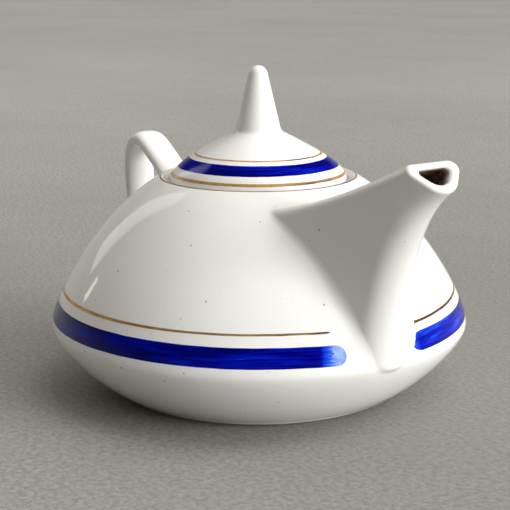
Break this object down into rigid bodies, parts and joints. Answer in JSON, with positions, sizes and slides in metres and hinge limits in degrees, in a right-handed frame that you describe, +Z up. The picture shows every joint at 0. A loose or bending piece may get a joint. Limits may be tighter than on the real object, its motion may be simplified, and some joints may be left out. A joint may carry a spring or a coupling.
{
  "type": "porcelain teapot with lid",
  "caption": "Low, wide white porcelain teapot with a flared spout, a strap handle and a lift-off domed lid with a tall cone finial, banded in cobalt and gold.",
  "frame": {"origin": "centre of the whole teapot's footprint box, on the table that the foot ring stands on; the pot's own axis is 5.35 mm from it towards the handle", "axes": "+X from the handle towards the spout, +Z up, and the plane of symmetry is XZ"},
  "size_m": [0.2169, 0.171, 0.1306],
  "materials": {
    "white_glaze": "clear gloss glaze over white porcelain",
    "lid_glaze": "clear gloss glaze over white porcelain",
    "thin_glaze": "thin, wiped glaze, satin",
    "bare_biscuit": "unglazed, matt",
    "cobalt_band": "brushed cobalt blue under gloss glaze",
    "gold_line": "thin burnished gold lustre"
  },
  "bodies": {
    "pot": {"pot_body": "white_glaze", "foot_ring": "bare_biscuit", "spout": "white_glaze", "handle": "white_glaze"},
    "lid": {"lid_dome": "lid_glaze", "lid_collar": "thin_glaze", "lid_finial": "lid_glaze"}
  },
  "joints": [
    {"name": "lid_lift", "type": "slide", "parent": "pot", "child": "lid", "axis": [0, 0, 1], "range_m": [0, 0.05]}
  ]
}
